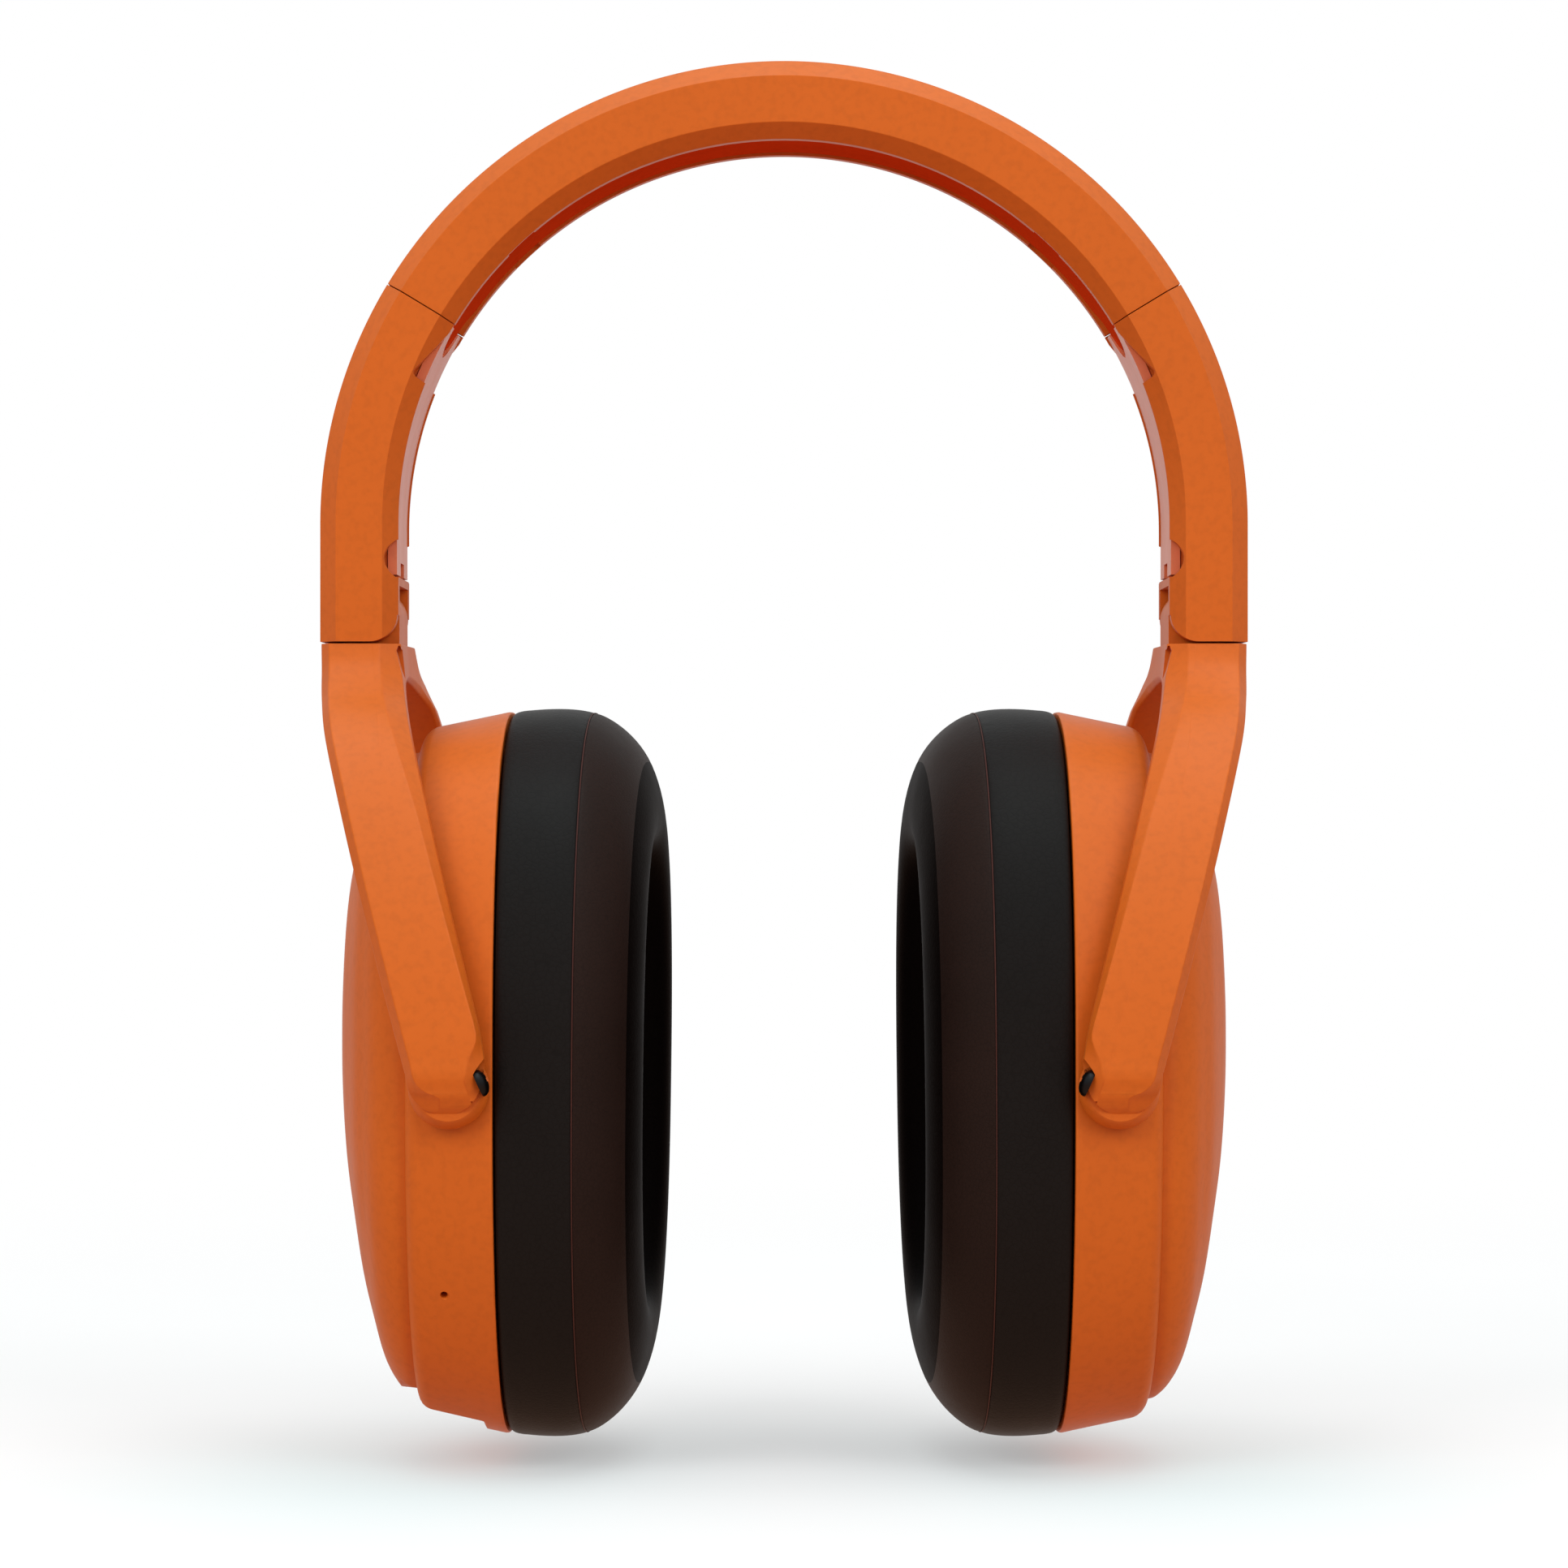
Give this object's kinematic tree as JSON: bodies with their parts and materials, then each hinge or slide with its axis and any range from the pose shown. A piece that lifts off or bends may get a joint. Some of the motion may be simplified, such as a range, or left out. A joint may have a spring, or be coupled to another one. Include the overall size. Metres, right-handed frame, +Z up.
{
  "type": "hearing protection earmuffs",
  "caption": "Circumaural earmuffs with an arched headband, sliding arms, fold hinges, forked yokes and tilting ear cups with padded cushions.",
  "frame": {"origin": "the crown of the headband's inner face, where it rests on the top of the head, in the middle plane", "axes": "+Z up, +X across the head from the left-hand cup to the right-hand cup, -Y towards the front; the picture looks along +Y"},
  "size_m": [0.1302, 0.0884, 0.1938],
  "materials": {
    "orange_shell": "satin moulded orange plastic with a fine grain",
    "orange_inner": "satin moulded orange plastic, inner plate",
    "red_liner": "soft-touch red-orange strip",
    "steel": "brushed",
    "black_screw": "black oxide",
    "black_plastic": "matte moulded plastic",
    "foam": "open-cell foam",
    "screen_cloth": "woven acoustic cloth",
    "cushion_skin": "soft synthetic leather over foam",
    "board_green": "solder-masked laminate",
    "battery_foil": "foil pouch"
  },
  "bodies": {
    "headband": {"headband_shell": "orange_shell", "headband_liner": "red_liner", "headband_spring": "steel", "left_detent_spring": "steel", "right_detent_spring": "steel"},
    "left_arm": {"left_arm_shell": "orange_shell", "left_arm_inner_plate": "orange_inner", "left_slider_strip": "steel", "left_slider_screws": "steel", "left_fold_pin": "steel"},
    "left_yoke": {"left_yoke_outer": "orange_shell", "left_yoke_inner": "orange_shell", "left_yoke_screws": "black_screw", "left_tilt_pins": "steel"},
    "left_cup": {"left_tilt_bushes": "black_plastic", "left_cup_housing": "orange_shell", "left_cup_cap": "orange_shell", "left_baffle_plate": "black_plastic", "left_speaker_basket": "black_plastic", "left_speaker_magnet": "steel", "left_acoustic_foam": "foam", "left_cushion_ring": "black_plastic", "left_inner_screen": "screen_cloth", "left_cushion": "cushion_skin", "left_cup_screws": "steel", "circuit_board": "board_green", "battery_pack": "battery_foil", "microphone_capsule": "steel", "charging_socket": "steel"},
    "right_arm": {"right_arm_shell": "orange_shell", "right_arm_inner_plate": "orange_inner", "right_slider_strip": "steel", "right_slider_screws": "steel", "right_fold_pin": "steel"},
    "right_yoke": {"right_yoke_outer": "orange_shell", "right_yoke_inner": "orange_shell", "right_yoke_screws": "black_screw", "right_tilt_pins": "steel"},
    "right_cup": {"right_tilt_bushes": "black_plastic", "right_cup_housing": "orange_shell", "right_cup_cap": "orange_shell", "right_baffle_plate": "black_plastic", "right_speaker_basket": "black_plastic", "right_speaker_magnet": "steel", "right_acoustic_foam": "foam", "right_cushion_ring": "black_plastic", "right_inner_screen": "screen_cloth", "right_cushion": "cushion_skin", "right_cup_screws": "steel"}
  },
  "joints": [
    {"name": "left_slide", "type": "slide", "parent": "headband", "child": "left_arm", "axis": [-0.5195, 0, -0.8545], "range_m": [0, 0.015]},
    {"name": "left_fold", "type": "hinge", "parent": "left_arm", "child": "left_yoke", "pos_m": [-0.058, 0, -0.0668], "axis": [0, 1, 0], "range_deg": [-18, 0]},
    {"name": "left_tilt", "type": "hinge", "parent": "left_yoke", "child": "left_cup", "pos_m": [-0.0454, 0, -0.1313], "axis": [0, 1, 0], "range_deg": [-8, 8]},
    {"name": "right_slide", "type": "slide", "parent": "headband", "child": "right_arm", "axis": [0.5195, 0, -0.8545], "range_m": [0, 0.015]},
    {"name": "right_fold", "type": "hinge", "parent": "right_arm", "child": "right_yoke", "pos_m": [0.058, 0, -0.0668], "axis": [0, 1, 0], "range_deg": [0, 18]},
    {"name": "right_tilt", "type": "hinge", "parent": "right_yoke", "child": "right_cup", "pos_m": [0.0454, 0, -0.1313], "axis": [0, 1, 0], "range_deg": [-8, 8]}
  ]
}
